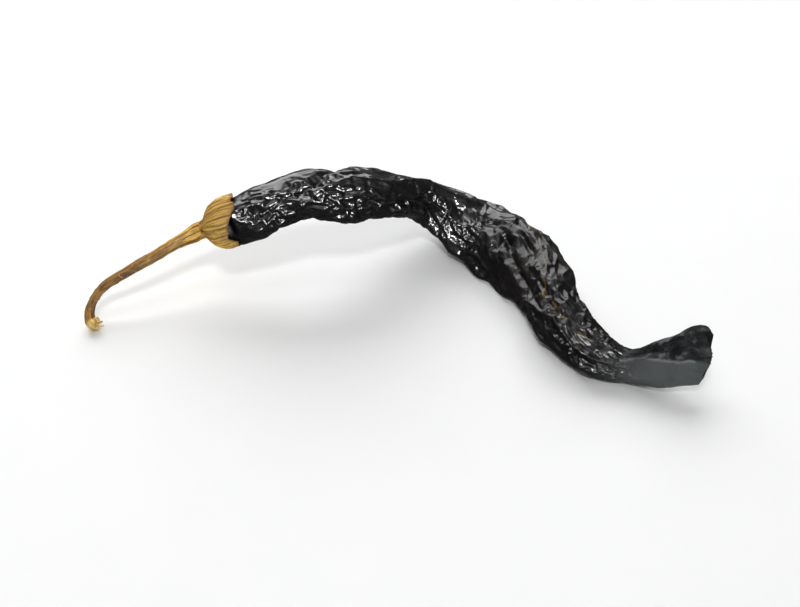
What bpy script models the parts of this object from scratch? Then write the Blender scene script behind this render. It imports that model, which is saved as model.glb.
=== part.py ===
"""Dried chilli pepper, lying on a table: a curved, flattened pod with its calyx and its stem.

Metres, +Z up, the table is z = 0. The stem's torn end, the pod's belly and its lower bend touch
the table; the calyx is held up between them. The origin is under the middle of the bounding box.
"""

import math

import bmesh
import bpy
import numpy as np
from mathutils import Matrix, Vector

MM = 0.001
TABLE_Z = 0.0
JOINT_GAP = 0.3 * MM  # left between pieces that grew together, so that they stay separate solids

# Pod. Each station: centre x, y, z, half width, half thickness (mm), and roll, the angle in
# degrees by which the flat side is turned up from level about the pod's own line.
POD_STATIONS = (
    (-43.2, 12.8, 22.2, 5.4, 5.4, 30),
    (-35.7, 13.7, 25.0, 6.0, 5.9, 35),
    (-25.3, 15.9, 27.6, 6.7, 6.2, 45),
    (-13.7, 17.7, 27.0, 7.5, 6.6, 52),
    (-1.9, 24.7, 21.7, 6.6, 6.0, 35),
    (11.6, 32.5, 12.2, 6.3, 5.6, 16),
    (18.9, 30.9, 8.6, 8.5, 5.5, 16),
    (26.6, 26.2, 6.6, 9.7, 5.5, 22),
    (34.6, 15.7, 7.0, 10.0, 5.6, 33),
    (41.4, 1.9, 8.4, 8.4, 5.4, 38),
    (43.9, -8.4, 8.6, 7.7, 5.2, 38),
    (49.3, -18.6, 7.0, 6.6, 4.9, 36),
    (57.1, -25.1, 4.7, 5.5, 4.4, 38),
    (61.6, -26.9, 4.1, 4.5, 4.0, 42),
    (68.7, -29.6, 6.0, 5.8, 3.2, 50),
    (79.6, -30.6, 10.5, 7.2, 2.7, 52),
)
POD_STEP = 2.6 * MM  # distance between rings along the pod
POD_SIDES = 36
POD_SHOULDER = ((4.6, 0.42), (4.1, 0.66), (3.0, 0.82), (1.4, 0.92))  # depth in the calyx (mm), size
POD_TAIL = ((1.6, 0.97), (3.0, 0.86), (3.7, 0.62))  # distance past the last station (mm), size
TAIL_SLANT = 2.4 * MM  # the tail's upper corner runs this far past its middle, the lower one short
TAIL_RUN = 11 * MM  # length over which the slant comes in

# Calyx: a ribbed cup on the pod's first stretch.
CALYX_BASE = (-53.4, 12.9, 18.1)
CALYX_RIM = (-44.7, 12.7, 21.3)
CALYX_PROFILE = ((0.0, 2.7), (0.1, 3.3), (0.3, 5.0), (0.52, 6.4), (0.76, 7.2), (1.0, 7.4))
CALYX_WALL = 0.8 * MM
CALYX_FLOOR = 2.6 * MM
CALYX_SIDES = 48
CALYX_RIBS = 12
CALYX_RIB_HEIGHT = 0.14 * MM
CALYX_TEETH = 6
CALYX_TOOTH = 0.9 * MM

# Stem: centre x, y, z and radius (mm), from the calyx down to the torn end on the table.
STEM_STATIONS = (
    (-53.7, 12.9, 17.8, 2.7),
    (-57.7, 11.2, 16.5, 1.95),
    (-66.4, 5.6, 14.2, 1.55),
    (-74.5, 1.8, 11.2, 1.35),
    (-80.9, -1.0, 7.3, 1.35),
    (-83.2, -5.2, 3.4, 1.4),
    (-81.6, -9.8, 1.35, 1.7),
)
STEM_STEP = 1.2 * MM
STEM_SIDES = 20
STEM_GROOVES = 5
STEM_GROOVE_DEPTH = 0.13
STEM_NOTCH = 1.3 * MM  # depth of the V between the two torn prongs


def clear_scene():
    for obj in list(bpy.data.objects):
        bpy.data.objects.remove(obj)


def spline(points, step):
    """Points about `step` apart on a natural cubic through `points`, and each one's columns.

    The first three columns are a place in space; the others vary smoothly along with it.
    """
    points = np.array(points, float)
    chord = np.linalg.norm(np.diff(points[:, :3], axis=0), axis=1)
    knots = np.concatenate(([0.0], np.cumsum(chord)))
    count = len(knots)
    system = np.eye(count)
    right = np.zeros((count, points.shape[1]))
    for i in range(1, count - 1):
        before, after = chord[i - 1], chord[i]
        system[i, i - 1 : i + 2] = before, 2 * (before + after), after
        right[i] = 6 * ((points[i + 1] - points[i]) / after - (points[i] - points[i - 1]) / before)
    bend = np.linalg.solve(system, right)
    at = np.linspace(0, knots[-1], max(2, round(knots[-1] / step) + 1))
    i = np.clip(np.searchsorted(knots, at, side="right") - 1, 0, count - 2)
    left, span = (at - knots[i])[:, None], chord[i][:, None]
    rest = span - left
    return (
        (bend[i] * rest**3 + bend[i + 1] * left**3) / (6 * span)
        + (points[i] / span - bend[i] * span / 6) * rest
        + (points[i + 1] / span - bend[i + 1] * span / 6) * left
    )


def frames(centres):
    """Unit vectors at each centre: along the line, level to its left, and up from it."""
    along = np.gradient(centres, axis=0)
    along /= np.linalg.norm(along, axis=1)[:, None]
    left = np.cross((0.0, 0.0, 1.0), along)
    left /= np.linalg.norm(left, axis=1)[:, None]
    return along, left, np.cross(along, left)


def pod_swell(angle, place):
    """The pod's size at an angle round it and a place along it (m), against a plain oval."""
    turn = 14 * place
    lobes = 0.050 * np.cos(3 * angle + 0.6 + turn) + 0.030 * np.cos(5 * angle - 1.1 - 2 * turn)
    folds = 0.030 * np.sin(190 * place + 2 * angle) + 0.028 * np.sin(330 * place - 3 * angle + 1)
    puckers = 0.022 * np.sin(560 * place + 4 * angle + 2)
    return 1 + lobes + folds + puckers


def mesh_object(name, rings, caps, material):
    """A closed mesh through rings of equal length, each end closed by a fan to its cap point."""
    bm = bmesh.new()
    made = [[bm.verts.new(p) for p in ring] for ring in rings]
    sides = len(made[0])
    for lower, upper in zip(made, made[1:]):
        for k in range(sides):
            bm.faces.new((lower[k], lower[(k + 1) % sides], upper[(k + 1) % sides], upper[k]))
    for ring, cap in ((made[0], caps[0]), (made[-1], caps[1])):
        centre = bm.verts.new(cap)
        for k in range(sides):
            bm.faces.new((ring[k], ring[(k + 1) % sides], centre))
    bmesh.ops.triangulate(bm, faces=bm.faces[:])
    bmesh.ops.recalc_face_normals(bm, faces=bm.faces[:])
    mesh = bpy.data.meshes.new(name)
    bm.to_mesh(mesh)
    bm.free()
    mesh.materials.append(material)
    mesh.shade_smooth()
    obj = bpy.data.objects.new(name, mesh)
    bpy.context.scene.collection.objects.link(obj)
    return obj


def material(name, colour, roughness):
    made = bpy.data.materials.new(name)
    made.use_nodes = True
    shader = made.node_tree.nodes["Principled BSDF"]
    shader.inputs["Base Color"].default_value = (*colour, 1)
    shader.inputs["Roughness"].default_value = roughness
    return made


def on_table(points):
    """The points with none below the table: this is what flattens each patch the chilli rests on."""
    points[..., 2] = np.maximum(points[..., 2], TABLE_Z)
    return points


def make_pod():
    """A lofted, flattened tube, drawn in at the calyx and blunt at the tail."""
    rows = spline(POD_STATIONS, POD_STEP / MM)
    centres = rows[:, :3] * MM
    along, left, up = frames(centres)
    wide, thick = rows[:, 3] * MM, rows[:, 4] * MM
    roll = np.radians(rows[:, 5])
    place = np.arange(len(rows)) * POD_STEP

    shoulder, tail = np.array(POD_SHOULDER), np.array(POD_TAIL)
    size = np.concatenate((shoulder[:, 1], np.ones(len(rows)), tail[:, 1]))
    last = len(rows) - 1
    picked = np.r_[[0] * len(shoulder), 0 : last + 1, [last] * len(tail)]
    beyond = np.concatenate((-shoulder[:, 0], np.zeros(len(rows)), tail[:, 0])) * MM
    centres = centres[picked] + along[picked] * beyond[:, None]

    angle = np.linspace(0, 2 * math.pi, POD_SIDES, endpoint=False)[None, :]
    swell = pod_swell(angle, place[picked][:, None]) * size[:, None]
    across = (wide[picked][:, None] * np.cos(angle) * swell)[..., None]
    through = (thick[picked][:, None] * np.sin(angle) * swell)[..., None]
    cos, sin = np.cos(roll[picked])[:, None, None], np.sin(roll[picked])[:, None, None]
    left, up, along = left[picked][:, None], up[picked][:, None], along[picked][:, None]
    rings = centres[:, None] + across * (cos * left + sin * up) + through * (cos * up - sin * left)
    left_over = place[-1] + POD_TAIL[-1][0] * MM - place[picked] - beyond
    slant = TAIL_SLANT * np.clip(1 - left_over / TAIL_RUN, 0, 1)[:, None] * np.cos(angle)
    rings = on_table(rings + slant[..., None] * along)
    caps = rings[0].mean(axis=0), rings[-1].mean(axis=0)
    return mesh_object("pod", rings, caps, material("pod_skin", (0.012, 0.010, 0.010), 0.25))


def make_calyx():
    """A cup turned about its own axis, ribbed outside, with a toothed rim and a solid floor."""
    base, rim = Vector(CALYX_BASE) * MM, Vector(CALYX_RIM) * MM
    axis = (rim - base).normalized()
    length = (rim - base).length
    side = axis.cross(Vector((0, 0, 1))).normalized()
    over = side.cross(axis)
    turn = np.linspace(0, 2 * math.pi, CALYX_SIDES, endpoint=False)
    teeth = CALYX_TOOTH * (0.5 - np.abs(np.mod(turn * CALYX_TEETH / (2 * math.pi), 1) - 0.5) * 2)
    ribs = CALYX_RIB_HEIGHT * np.cos(CALYX_RIBS * turn)

    def ring(depth, radius, rib_share, tooth_share):
        along = depth + tooth_share * teeth
        out = radius + rib_share * ribs
        return [
            base + axis * a + (side * math.cos(t) + over * math.sin(t)) * r
            for a, r, t in zip(along, out, turn)
        ]

    outside = [(share * length, radius * MM) for share, radius in CALYX_PROFILE]
    inside = [(depth, radius - CALYX_WALL) for depth, radius in outside if depth > CALYX_FLOOR]
    rings = [ring(depth, radius, depth / length, (depth / length) ** 3) for depth, radius in outside]
    rings += [ring(depth, radius, 0, (depth / length) ** 3) for depth, radius in reversed(inside)]
    rings.append(ring(CALYX_FLOOR, 0.6 * inside[0][1], 0, 0))
    caps = base, base + axis * CALYX_FLOOR
    return mesh_object("calyx", rings, caps, material("calyx_husk", (0.42, 0.26, 0.09), 0.6))


def make_stem():
    """A grooved, tapering rod that hooks down to the table and ends in two torn prongs."""
    rows = spline(STEM_STATIONS, STEM_STEP / MM)
    centres, radius = rows[:, :3] * MM, rows[:, 3] * MM
    along, left, up = frames(centres)
    base = np.array(CALYX_BASE) * MM
    seat = np.array(CALYX_RIM) * MM - base
    seat /= np.linalg.norm(seat)
    centres[0] = base - seat * JOINT_GAP
    left[0] -= seat * (left[0] @ seat)
    left[0] /= np.linalg.norm(left[0])
    up[0] = np.cross(-seat, left[0])
    angle = np.linspace(0, 2 * math.pi, STEM_SIDES, endpoint=False)[None, :]
    fading = np.linspace(1, 0.4, len(rows))[:, None]
    out = radius[:, None] * (1 + STEM_GROOVE_DEPTH * np.cos(STEM_GROOVES * angle) * fading)
    sideways = (out * np.cos(angle))[..., None] * left[:, None]
    rings = centres[:, None] + sideways + (out * np.sin(angle))[..., None] * up[:, None]
    notch = STEM_NOTCH * np.abs(np.cos(angle[0])) - STEM_NOTCH
    rings[-1] += notch[:, None] * along[-1]
    caps = centres[0], centres[-1] - along[-1] * STEM_NOTCH
    return mesh_object("stem", on_table(rings), caps, material("stem_bark", (0.33, 0.17, 0.045), 0.55))


def centre_on_origin(objects):
    """Moves the meshes so that the origin is on the table under the middle of their bounding box."""
    points = np.array([vertex.co for obj in objects for vertex in obj.data.vertices])
    middle = (points.min(axis=0) + points.max(axis=0)) / 2
    for obj in objects:
        obj.data.transform(Matrix.Translation((-middle[0], -middle[1], 0)))
    print("moved by (mm)", [round(float(-c) / MM, 3) for c in middle[:2]])


def main():
    clear_scene()
    centre_on_origin([make_pod(), make_calyx(), make_stem()])


main()
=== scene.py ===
# %% [markdown]
# # A dried chilli pepper
# A long dark chilli is picked ripe and dried until its flesh is a leathery skin. The skin is now
# far too big for what it wraps, so it buckles: large folds first, small wrinkles inside them.
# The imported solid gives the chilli's true size, its bend and where each piece sits. This lesson
# grows three pieces over it: the wrinkled pod, the ribbed calyx and the woody stem.

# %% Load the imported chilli
import math

import bmesh
import bpy
import numpy as np
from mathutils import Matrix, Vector
from mathutils.bvhtree import BVHTree


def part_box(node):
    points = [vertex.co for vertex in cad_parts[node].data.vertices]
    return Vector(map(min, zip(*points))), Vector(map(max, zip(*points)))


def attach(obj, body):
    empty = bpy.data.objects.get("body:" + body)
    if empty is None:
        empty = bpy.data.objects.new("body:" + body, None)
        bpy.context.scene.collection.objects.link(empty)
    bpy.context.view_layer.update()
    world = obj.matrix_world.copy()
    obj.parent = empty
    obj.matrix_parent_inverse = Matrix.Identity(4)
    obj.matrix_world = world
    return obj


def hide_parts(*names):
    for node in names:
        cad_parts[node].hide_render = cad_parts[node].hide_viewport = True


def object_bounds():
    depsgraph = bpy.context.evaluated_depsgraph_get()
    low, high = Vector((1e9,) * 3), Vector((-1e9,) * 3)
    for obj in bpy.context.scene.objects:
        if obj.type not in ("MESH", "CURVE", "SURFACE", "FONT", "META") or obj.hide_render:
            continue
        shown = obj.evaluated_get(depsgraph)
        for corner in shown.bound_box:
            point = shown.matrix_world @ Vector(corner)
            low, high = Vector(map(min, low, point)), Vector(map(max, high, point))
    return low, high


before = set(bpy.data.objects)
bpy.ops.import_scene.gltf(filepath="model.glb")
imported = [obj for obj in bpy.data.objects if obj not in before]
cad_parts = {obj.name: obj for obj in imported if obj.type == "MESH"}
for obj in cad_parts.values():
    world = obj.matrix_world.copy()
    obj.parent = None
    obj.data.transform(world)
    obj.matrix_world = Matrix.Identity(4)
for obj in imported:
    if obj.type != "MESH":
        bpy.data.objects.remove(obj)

MM = 0.001
solid_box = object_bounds()
print("packed pieces:", ", ".join(sorted(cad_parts)))
print("size (mm):", [round((high - low) / MM, 1) for low, high in zip(*solid_box)])

# %% [markdown]
# ## Where we look from
# The chilli is looked down on, from about 40 degrees above the table, through a lens long enough
# that the near end isn't swollen. The camera aims at a point on the table beside the chilli's
# middle, which leaves room round it, more below than above.

# %% The camera
VIEW_HEIGHT = math.radians(40)
VIEW_DISTANCE = 498 * MM
AIM_OFFSET = Vector((2.6, 1.0, 0)) * MM

aim = Vector((0, 0, solid_box[0].z)) + AIM_OFFSET
camera = bpy.data.objects.new("camera", bpy.data.cameras.new("camera"))
camera.data.lens = 80
camera.data.sensor_width = 36
camera.data.clip_start = 0.01
camera.location = aim + VIEW_DISTANCE * Vector((0, -math.cos(VIEW_HEIGHT), math.sin(VIEW_HEIGHT)))
camera.rotation_euler = (math.pi / 2 - VIEW_HEIGHT, 0, 0)
bpy.context.scene.collection.objects.link(camera)
bpy.context.scene.camera = camera
print("camera at (mm):", [round(c / MM) for c in camera.location])

# %% [markdown]
# ## Light for a black, glossy thing
# A black glossy skin has almost no colour of its own: what we see on it is what it mirrors. Tops
# of folds should mirror something broad and pale, so a large soft panel hangs behind the chilli.
# The side that faces us should mirror darkness with a few sparks in it, so the room on our side
# is dark, with small bright lamps high up. The panel also whitens the table.

# %% The panel and the lamps
def panel(name, place, width, height, strength):
    """A rectangular light that faces the chilli from `place` and isn't itself in view."""
    light = bpy.data.lights.new(name, "AREA")
    light.shape = "RECTANGLE"
    light.size, light.size_y = width, height
    light.energy = strength * width * height * math.pi
    holder = bpy.data.objects.new(name, light)
    holder.location = place
    holder.rotation_euler = Vector(place).to_track_quat("Z", "Y").to_euler()
    holder.visible_camera = False
    bpy.context.scene.collection.objects.link(holder)
    return holder


panels = [
    panel("back_panel", (-0.25, 1.5, 1.15), 2.1, 1.5, 4.7),
    panel("top_panel", (-0.3, 0.2, 1.9), 1.2, 0.8, 2.0),
    panel("fill_lamp", (-0.1, -0.9, 1.6), 0.36, 0.24, 36),
]
lamps = [
    panel("lamp_left", (-1.0, -1.25, 0.75), 0.38, 0.55, 44),
    panel("lamp_right", (0.85, -1.35, 0.60), 0.26, 0.46, 125),
    panel("lamp_middle", (-0.10, -1.45, 0.95), 0.24, 0.26, 110),
]
for lamp in lamps:
    lamp.visible_diffuse = False  # they make sparks in the gloss and leave the shadows alone
print("lights:", [light.name for light in panels + lamps])

# %% The room and the table
world = bpy.data.worlds.new("room")
world.use_nodes = True
bpy.context.scene.world = world
bpy.context.scene.view_settings.view_transform = "Standard"
room = world.node_tree
felt = room.nodes["Background"]  # the room as it lights the chilli
felt.inputs["Color"].default_value = (1, 1, 1, 1)
felt.inputs["Strength"].default_value = 0.08
seen = room.nodes.new("ShaderNodeBackground")  # the room as the camera sees it
seen.inputs["Strength"].default_value = 1.0
ray = room.nodes.new("ShaderNodeLightPath")
choose = room.nodes.new("ShaderNodeMixShader")
room.links.new(ray.outputs["Is Camera Ray"], choose.inputs["Fac"])
room.links.new(felt.outputs["Background"], choose.inputs[1])
room.links.new(seen.outputs["Background"], choose.inputs[2])
room.links.new(choose.outputs["Shader"], room.nodes["World Output"].inputs["Surface"])

TABLE_HALF = 3.0
TABLE_DROP = 0.05 * MM  # keeps the table from sharing a plane with the flats the chilli rests on
table_top = solid_box[0].z - TABLE_DROP
table_mesh = bpy.data.meshes.new("table")
table_corners = [
    (x * TABLE_HALF, y * TABLE_HALF, table_top) for x, y in ((-1, -1), (1, -1), (1, 1), (-1, 1))
]
table_mesh.from_pydata(table_corners, [], [(0, 1, 2, 3)])
table = bpy.data.objects.new("table", table_mesh)
bpy.context.scene.collection.objects.link(table)
table.visible_glossy = False  # keeps the white board out of the dark reflections low on the pod
print("table top at (mm):", round(table_top / MM, 2))

# %% [markdown]
# ## Writing finishes
# A finish is a small network of shader nodes. Sums on its values read best as sums, so a value
# from any node is wrapped in `Value`, whose operators each add one Math node. `Finish.node` adds
# every other kind of node.

# %% A value that can be calculated with, and a finish with its nodes
class Value:
    """One output of a node; +, - and * on it add the Math nodes that work them out."""

    def __init__(self, finish, socket):
        self.finish = finish
        self.socket = socket

    def _maths(self, operation, first, second):
        settings = {"operation": operation}
        return self.finish.node("ShaderNodeMath", settings, {0: first, 1: second})

    def __add__(self, other):
        return self._maths("ADD", self, other)

    def __radd__(self, other):
        return self._maths("ADD", other, self)

    def __sub__(self, other):
        return self._maths("SUBTRACT", self, other)

    def __rsub__(self, other):
        return self._maths("SUBTRACT", other, self)

    def __mul__(self, other):
        return self._maths("MULTIPLY", self, other)

    def __rmul__(self, other):
        return self._maths("MULTIPLY", other, self)


class Finish:
    """A material under construction."""

    def __init__(self, name):
        self.material = bpy.data.materials.new(name)
        self.material.use_nodes = True
        self.tree = self.material.node_tree
        self.shader = self.tree.nodes["Principled BSDF"]

    def node(self, kind, settings=None, sockets=None, output=0):
        """Adds a node, sets it up, fills its sockets with numbers or links, gives one output."""
        made = self.tree.nodes.new(kind)
        for name, setting in (settings or {}).items():
            setattr(made, name, setting)
        for name, given in (sockets or {}).items():
            self.feed(made.inputs[name], given)
        return Value(self, made.outputs[output])

    def feed(self, socket, given):
        """Links a value to a socket, or sets the socket to a number or a colour."""
        if isinstance(given, Value):
            self.tree.links.new(given.socket, socket)
        else:
            socket.default_value = given

    def surface(self, **sockets):
        """Fills the shader's own sockets, named with _ for each space."""
        for name, given in sockets.items():
            self.feed(self.shader.inputs[name.replace("_", " ")], given)

    def second_surface(self, share, **sockets):
        """Adds another shader; the surface is this one where share is 1, the first where it is 0."""
        spaced = {name.replace("_", " "): given for name, given in sockets.items()}
        other = self.node("ShaderNodeBsdfPrincipled", {}, spaced)
        first = Value(self, self.shader.outputs[0])
        mixed = self.node("ShaderNodeMixShader", {}, {0: share, 1: first, 2: other})
        self.feed(self.tree.nodes["Material Output"].inputs["Surface"], mixed)

    def place(self):
        """Where on the piece we are, in metres."""
        return self.node("ShaderNodeTexCoord", output="Object")

    def attribute(self, name, output="Fac"):
        """A number (or, as Vector, three) kept for each corner of the mesh."""
        return self.node("ShaderNodeAttribute", {"attribute_name": name}, output=output)

    def band(self, value, low, high):
        """0 below `low`, 1 above `high`, and smooth between."""
        settings = {"interpolation_type": "SMOOTHSTEP"}
        sockets = {"Value": value, "From Min": low, "From Max": high}
        return self.node("ShaderNodeMapRange", settings, sockets)

    def mix(self, share, first, second):
        """A colour that is `first` where share is 0 and `second` where it is 1."""
        first, second = (c if isinstance(c, Value) else (*c, 1) for c in (first, second))
        sockets = {0: share, 6: first, 7: second}
        return self.node("ShaderNodeMix", {"data_type": "RGBA"}, sockets, output=2)

    def noise(self, where, scale, detail=4, rough=0.55, warp=0.0):
        """Cloudy noise between 0 and 1; `scale` is in spots per metre."""
        sockets = {"Vector": where, "Scale": scale, "Detail": detail}
        sockets |= {"Roughness": rough, "Distortion": warp}
        return self.node("ShaderNodeTexNoise", {}, sockets)

    def bump(self, height, distance, strength=0.6):
        """Tilts the surface as if it were raised by `height` times `distance` metres."""
        sockets = {"Height": height, "Distance": distance, "Strength": strength}
        return self.node("ShaderNodeBump", {}, sockets)

    def drawn_out(self, along):
        """The piece's straight lay, its lengths cut to `along`: noise on it makes streaks."""
        sockets = {0: self.attribute("lay", "Vector"), 1: (1, 1, along)}
        return self.node("ShaderNodeVectorMath", {"operation": "MULTIPLY"}, sockets)


print("a finish can be written as sums")

# %% [markdown]
# ## The pod's line and its cross-sections
# The visible skin needs a regular net of points: rings across the pod, each with the same number
# of points round it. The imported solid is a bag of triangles, so the net is found from it. How far
# each corner is from the calyx end, walking along the solid's edges, puts the corners in order
# along the pod; their averages give its line; and rays sent out from the line give each section.

# %% Find the pod's line
WELD = 0.002 * MM  # corners this near each other are one
FAN_EDGES = 17  # at least so many edges meet where a flat end fans out
LINE_POINTS = 120


def length_of(line):
    """How long a line of points is."""
    return np.linalg.norm(np.diff(line, axis=0), axis=1).sum()


def unit(vectors):
    """The same vectors, each of length 1."""
    return vectors / np.linalg.norm(vectors, axis=1)[:, None]


def turns_round(count):
    """`count` even turns, in radians."""
    return np.linspace(0, 2 * math.pi, count, endpoint=False)


def walk_distances(mesh, start):
    """How far each corner is from `start`, walking along edges."""
    reached = {start: 0.0}
    edge = [start]
    while edge:
        nearer = []
        for corner in edge:
            for link in corner.link_edges:
                other = link.other_vert(corner)
                far = reached[corner] + link.calc_length()
                if far < reached.get(other, math.inf) - 1e-7:
                    reached[other] = far
                    nearer.append(other)
        edge = nearer
    return reached


def even_line(points, count):
    """The same smooth line through `count` evenly spaced points."""
    gaps = np.linalg.norm(np.diff(points, axis=0), axis=1)
    along = np.concatenate(([0.0], np.cumsum(gaps)))
    wanted = np.linspace(0, along[-1], count)
    return np.stack([np.interp(wanted, along, axis) for axis in points.T], axis=1)


def soften(values, passes):
    """Averages each row with its neighbours, leaving both ends where they are."""
    values = values.copy()
    for _ in range(passes):
        values[1:-1] = (values[:-2] + 2 * values[1:-1] + values[2:]) / 4
    return values


def welded(node):
    """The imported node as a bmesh, with its doubled corners joined."""
    mesh = bmesh.new()
    mesh.from_mesh(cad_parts[node].data)
    bmesh.ops.remove_doubles(mesh, verts=mesh.verts[:], dist=WELD)
    return mesh


def flat_ends(mesh, near):
    """Where the solid's flat ends fan out: (corner, middle, outward normal), nearest first."""
    ends = []
    for corner in mesh.verts:
        if len(corner.link_edges) < FAN_EDGES:
            continue
        facing = sum((face.normal for face in corner.link_faces), Vector()).normalized()
        flat = [face for face in corner.link_faces if face.normal.dot(facing) > 0.8]
        facing = sum((face.normal for face in flat), Vector()).normalized()
        rim = {other for face in flat for other in face.verts}
        middle = sum((other.co for other in rim), Vector()) / len(rim)
        ends.append((corner, middle, facing))
    return sorted(ends, key=lambda end: (end[1] - near).length)


def rough_line(mesh, ends, count):
    """Averages of the corners at equal distances along the solid, from one end to the other."""
    walked = walk_distances(mesh, ends[0][0])
    corners = np.array([corner.co for corner in walked])
    reach = np.array(list(walked.values()))
    marks = np.linspace(0, reach.max(), count)
    bands = zip(marks[1:-3], marks[3:-1])
    line = [corners[(reach > low) & (reach < high)].mean(axis=0) for low, high in bands]
    return np.array([ends[0][1], *line, ends[1][1]])


solid = welded("pod")
calyx_low, calyx_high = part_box("calyx")
pod_ends = flat_ends(solid, (calyx_low + calyx_high) / 2)
pod_line = even_line(soften(rough_line(solid, pod_ends, 48), 2), LINE_POINTS)
pod_tree = BVHTree.FromBMesh(solid)
solid.free()
print("pod's line (mm):", round(length_of(pod_line) / MM, 1))

# %% Cut the sections
SECTION_TILT = math.radians(38)  # turns each section's start to the pod's long upper edge
SECTION_POINTS = 76
END_TURN = 14 * MM  # near its ends the sections turn to lie along the cut ends
END_INSET = 0.3 * MM  # the first and last section are this far inside the solid
FINE_LINE = 1000


def section_frames(points):
    """At each point of the line, two unit vectors across it: to the pod's edge and to its face."""
    along = unit(np.gradient(points, axis=0))
    walked_to = np.linspace(0, 1, len(points)) * length_of(points)
    for normal, to_go in ((-pod_ends[0][2], walked_to), (pod_ends[1][2], walked_to[-1] - walked_to)):
        share = np.clip(1 - to_go / END_TURN, 0, 1)[:, None]
        along = along * (1 - share) + np.array(normal) * share
    along = unit(along)
    level = unit(np.cross((0.0, 0.0, 1.0), along))
    up = np.cross(along, level)
    tilt_cos, tilt_sin = math.cos(SECTION_TILT), math.sin(SECTION_TILT)
    return level * tilt_cos + up * tilt_sin, up * tilt_cos - level * tilt_sin


def rays_round(tree, points, across, up, count):
    """Where `count` rays from each point of a line, sent out round it, meet the solid."""
    rings = np.zeros((len(points), count, 3))
    for i, point in enumerate(points):
        for k, turn in enumerate(turns_round(count)):
            ray = Vector(across[i] * math.cos(turn) + up[i] * math.sin(turn))
            hit, _, _, _ = tree.ray_cast(Vector(point), ray)
            rings[i, k] = hit if hit is not None else point
    return rings


def cut_sections(points):
    """The pod's cross-sections at points of its line."""
    edge, face = section_frames(points)
    return rays_round(pod_tree, points, edge, face, SECTION_POINTS)


for _ in range(3):
    rings = cut_sections(pod_line[1:-1])
    after = np.roll(rings, -1, axis=1)
    weight = np.linalg.norm(after - rings, axis=2, keepdims=True)
    centres = (weight * (after + rings) / 2).sum(axis=1) / weight.sum(axis=1)
    pod_line[1:-1] = centres
    pod_line = even_line(soften(pod_line, 3), LINE_POINTS)
section_line = even_line(pod_line, FINE_LINE)
inset = round(FINE_LINE * END_INSET / length_of(pod_line))
section_line = even_line(section_line[inset:-inset], 2 * LINE_POINTS)
sections = cut_sections(section_line)
widths = np.linalg.norm(sections - np.roll(sections, SECTION_POINTS // 2, axis=1), axis=2)
print("sections:", sections.shape[:2], "widest (mm):", round(widths.max() / MM, 1))

# %% [markdown]
# ## From sections to a fine net
# The sections are far apart. Between them each thread of the net follows a cubic curve, so that
# reflections run smoothly over it; round the pod the same is done with the ring's harmonics. The
# points are then shared out evenly round each ring, or a flat pod gets all of them at its edges.

# %% Make a net of any fineness
def along_rows(values, count):
    """`values`, one row for each ring, at `count` evenly spaced rings, on natural cubic curves."""
    rows = len(values)
    flat = values.reshape(rows, -1)
    system = np.eye(rows) * 4
    system[0, 0] = system[-1, -1] = 1
    bend = np.zeros_like(flat)
    for i in range(1, rows - 1):
        system[i, i - 1] = system[i, i + 1] = 1
        bend[i] = 6 * (flat[i - 1] - 2 * flat[i] + flat[i + 1])
    bend = np.linalg.solve(system, bend)
    at = np.linspace(0, rows - 1, count)
    i = np.minimum(at.astype(int), rows - 2)
    b = (at - i)[:, None]
    a = 1 - b
    curved = ((a**3 - a) * bend[i] + (b**3 - b) * bend[i + 1]) / 6
    return (a * flat[i] + b * flat[i + 1] + curved).reshape(count, *values.shape[1:])


def round_rings(values, count):
    """`values`, one column for each place round the ring, at `count` places, by harmonics."""
    waves = np.fft.rfft(values, axis=1)
    return np.fft.irfft(waves, n=count, axis=1) * (count / values.shape[1])


def share_evenly(rings):
    """The same rings with their points at even distances round them."""
    shared = np.empty_like(rings)
    sides = rings.shape[1]
    for i, ring in enumerate(rings):
        closed = np.vstack((ring, ring[:1]))
        gaps = np.linalg.norm(np.diff(closed, axis=0), axis=1)
        walked_to = np.concatenate(([0.0], np.cumsum(gaps)))
        wanted = np.linspace(0, walked_to[-1], sides, endpoint=False)
        shared[i] = np.stack([np.interp(wanted, walked_to, axis) for axis in closed.T], axis=1)
    return shared


close_rings = round_rings(along_rows(sections, 2 * LINE_POINTS), 6 * SECTION_POINTS)
pod_form = share_evenly(close_rings)[:, ::3]


def pod_net(rows, sides):
    """The pod's smooth form as rows x sides points."""
    return along_rows(round_rings(pod_form, sides), rows)


POD_LENGTH = length_of(pod_form.mean(axis=1))
pod_girth = np.linalg.norm(pod_form - np.roll(pod_form, 1, axis=1), axis=2).sum(axis=1)
print("pod (mm): length", round(POD_LENGTH / MM, 1), "girth up to", round(pod_girth.max() / MM, 1))
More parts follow.
